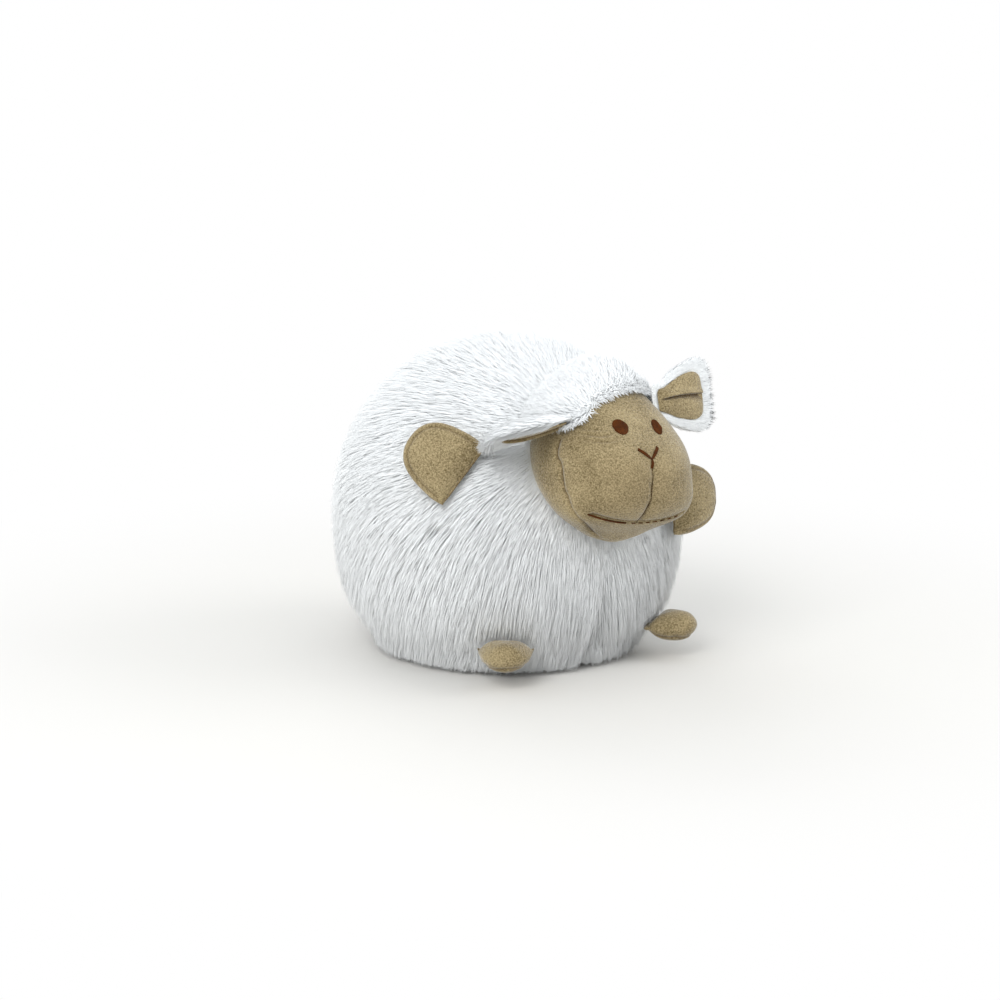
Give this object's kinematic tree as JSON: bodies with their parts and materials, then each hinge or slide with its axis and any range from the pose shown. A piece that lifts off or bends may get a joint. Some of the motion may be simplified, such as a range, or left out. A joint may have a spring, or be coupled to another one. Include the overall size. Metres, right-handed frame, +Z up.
{
  "type": "plush night light",
  "caption": "Ball-shaped long-pile plush lamb with velour face, floppy ears and limbs, and a battery-powered light and music pod sealed in its underside.",
  "frame": {"origin": "centre of the lamp pod's flat underside, on the surface that the plush stands on", "axes": "+Z up, -Y towards the face, +X towards the animal's own left"},
  "size_m": [0.208, 0.2484, 0.191],
  "materials": {
    "fur": "long soft white pile",
    "velour": "short tan velour",
    "thread": "satin-stitched brown thread",
    "filling": "loose polyester fibre",
    "cloth": "plain woven lining",
    "shell": "moulded, fine spark texture",
    "diffuser": "frosted milky",
    "key": "moulded grey",
    "steel": "nickel plated",
    "board": "solder-masked laminate",
    "cell": "plain sleeve",
    "led": "clear epoxy",
    "magnet": "sintered ferrite",
    "paper": "pressed paper cone",
    "switch_black": "moulded black"
  },
  "bodies": {
    "plush_body": {"body_fur_shell": "fur", "body_stuffing": "filling", "pod_pocket": "cloth", "opening_hem_band": "cloth", "head_face": "velour", "head_stuffing": "filling", "head_fur_cap": "fur", "eye_left": "thread", "eye_right": "thread", "nose_stitch": "thread", "mouth_stitch": "thread", "base_housing": "shell", "diffuser_dome": "diffuser", "main_board": "board", "housing_screw_1": "steel", "housing_screw_2": "steel", "housing_screw_3": "steel", "led_1": "led", "led_2": "led", "led_3": "led", "led_4": "led", "led_5": "led", "led_6": "led", "battery_1": "cell", "battery_2": "cell", "battery_3": "cell", "battery_spring_1": "steel", "battery_spring_2": "steel", "battery_spring_3": "steel", "battery_contact_1": "steel", "battery_contact_2": "steel", "battery_contact_3": "steel", "speaker_magnet": "magnet", "speaker_frame": "steel", "speaker_cone": "paper", "tact_switch_1": "switch_black", "tact_switch_2": "switch_black", "tact_switch_3": "switch_black", "switch_board": "board", "power_switch_body": "switch_black"},
    "left_ear": {"ear_left_fur": "fur", "ear_left_lining": "velour"},
    "right_ear": {"ear_right_fur": "fur", "ear_right_lining": "velour"},
    "left_arm": {"arm_left": "velour"},
    "right_arm": {"arm_right": "velour"},
    "left_foot": {"foot_left": "velour"},
    "right_foot": {"foot_right": "velour"},
    "light_key": {"light_button": "key"},
    "music_key": {"music_button": "key"},
    "volume_key": {"volume_button": "key"},
    "power_knob": {"power_slider": "key"},
    "door": {"battery_door": "shell"},
    "door_fastener": {"door_screw": "steel"}
  },
  "joints": [
    {"name": "ear_left_flop", "type": "hinge", "parent": "plush_body", "child": "left_ear", "pos_m": [0.02672, -0.10785, 0.16191], "axis": [-0.0254, 0.1553, 0.9875], "range_deg": [-15, 20], "stiffness_Nm_per_rad": 0.05},
    {"name": "ear_right_flop", "type": "hinge", "parent": "plush_body", "child": "right_ear", "pos_m": [-0.03379, -0.10785, 0.15761], "axis": [0.5024, 0.8108, -0.3004], "range_deg": [-15, 20], "stiffness_Nm_per_rad": 0.05},
    {"name": "arm_left_swing", "type": "hinge", "parent": "plush_body", "child": "left_arm", "pos_m": [0.05319, -0.09213, 0.09842], "axis": [-0.0272, -0.1619, -0.9864], "range_deg": [0, 60], "stiffness_Nm_per_rad": 0.05},
    {"name": "arm_right_swing", "type": "hinge", "parent": "plush_body", "child": "right_arm", "pos_m": [-0.07628, -0.06515, 0.12314], "axis": [0.5747, -0.2254, 0.7867], "range_deg": [0, 75], "stiffness_Nm_per_rad": 0.05},
    {"name": "foot_left_flex", "type": "hinge", "parent": "plush_body", "child": "left_foot", "pos_m": [0.0527, -0.07253, 0.01996], "axis": [0.809, 0.5878, 0], "range_deg": [-30, 5], "stiffness_Nm_per_rad": 0.05},
    {"name": "foot_right_flex", "type": "hinge", "parent": "plush_body", "child": "right_foot", "pos_m": [-0.0527, -0.07253, 0.01996], "axis": [0.809, -0.5878, 0], "range_deg": [-30, 5], "stiffness_Nm_per_rad": 0.05},
    {"name": "light_press", "type": "slide", "parent": "plush_body", "child": "light_key", "axis": [0, 0, 1], "range_m": [0, 0.0012], "stiffness_N_per_m": 800},
    {"name": "music_press", "type": "slide", "parent": "plush_body", "child": "music_key", "axis": [0, 0, 1], "range_m": [0, 0.0012], "stiffness_N_per_m": 800},
    {"name": "volume_press", "type": "slide", "parent": "plush_body", "child": "volume_key", "axis": [0, 0, 1], "range_m": [0, 0.0012], "stiffness_N_per_m": 800},
    {"name": "power_slide", "type": "slide", "parent": "plush_body", "child": "power_knob", "axis": [1, 0, 0], "range_m": [0, 0.004]},
    {"name": "battery_door_lift", "type": "slide", "parent": "plush_body", "child": "door", "axis": [0, 0, -1], "range_m": [0, 0.02]},
    {"name": "door_screw_turn", "type": "hinge", "parent": "door", "child": "door_fastener", "pos_m": [0.032, -0.021, 0.006], "axis": [0, 0, 1], "continuous": true}
  ]
}
